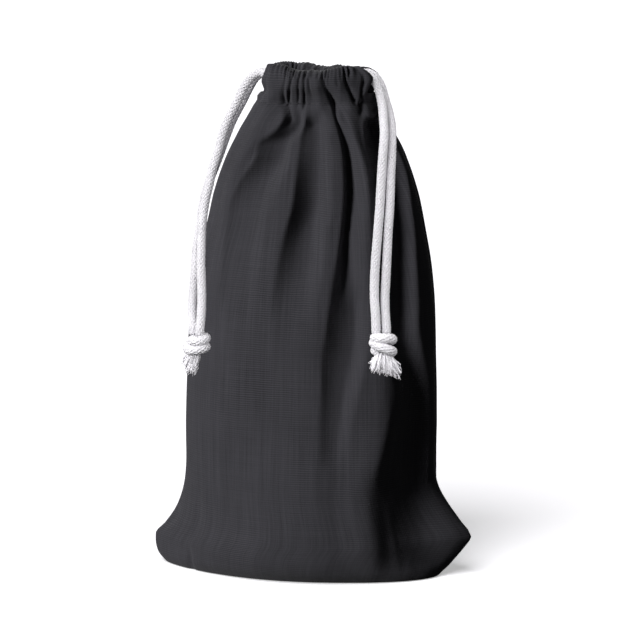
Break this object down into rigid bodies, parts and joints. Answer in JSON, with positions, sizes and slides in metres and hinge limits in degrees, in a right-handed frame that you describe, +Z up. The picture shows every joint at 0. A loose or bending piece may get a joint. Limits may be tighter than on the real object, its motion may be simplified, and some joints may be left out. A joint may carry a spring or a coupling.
{
  "type": "cotton drawstring bag",
  "caption": "Soft cotton pouch that stands on a flat base, its gathered mouth closed by cotton cords that run in a casing and end in knots at the sides.",
  "frame": {"origin": "centre of the cloth bag's footprint at the surface it stands on", "axes": "+Z up to the mouth, front towards -Y, side seams at -X and +X"},
  "size_m": [0.1953, 0.1052, 0.3018],
  "materials": {
    "cloth": "matt plain-weave cotton, dyed dark charcoal",
    "cord": "matt braided cotton, off-white"
  },
  "bodies": {
    "root": {"bag": "cloth", "drawstring_left": "cord", "drawstring_right": "cord", "knot_left": "cord", "knot_right": "cord", "fray_left": "cord", "fray_right": "cord"}
  },
  "joints": []
}
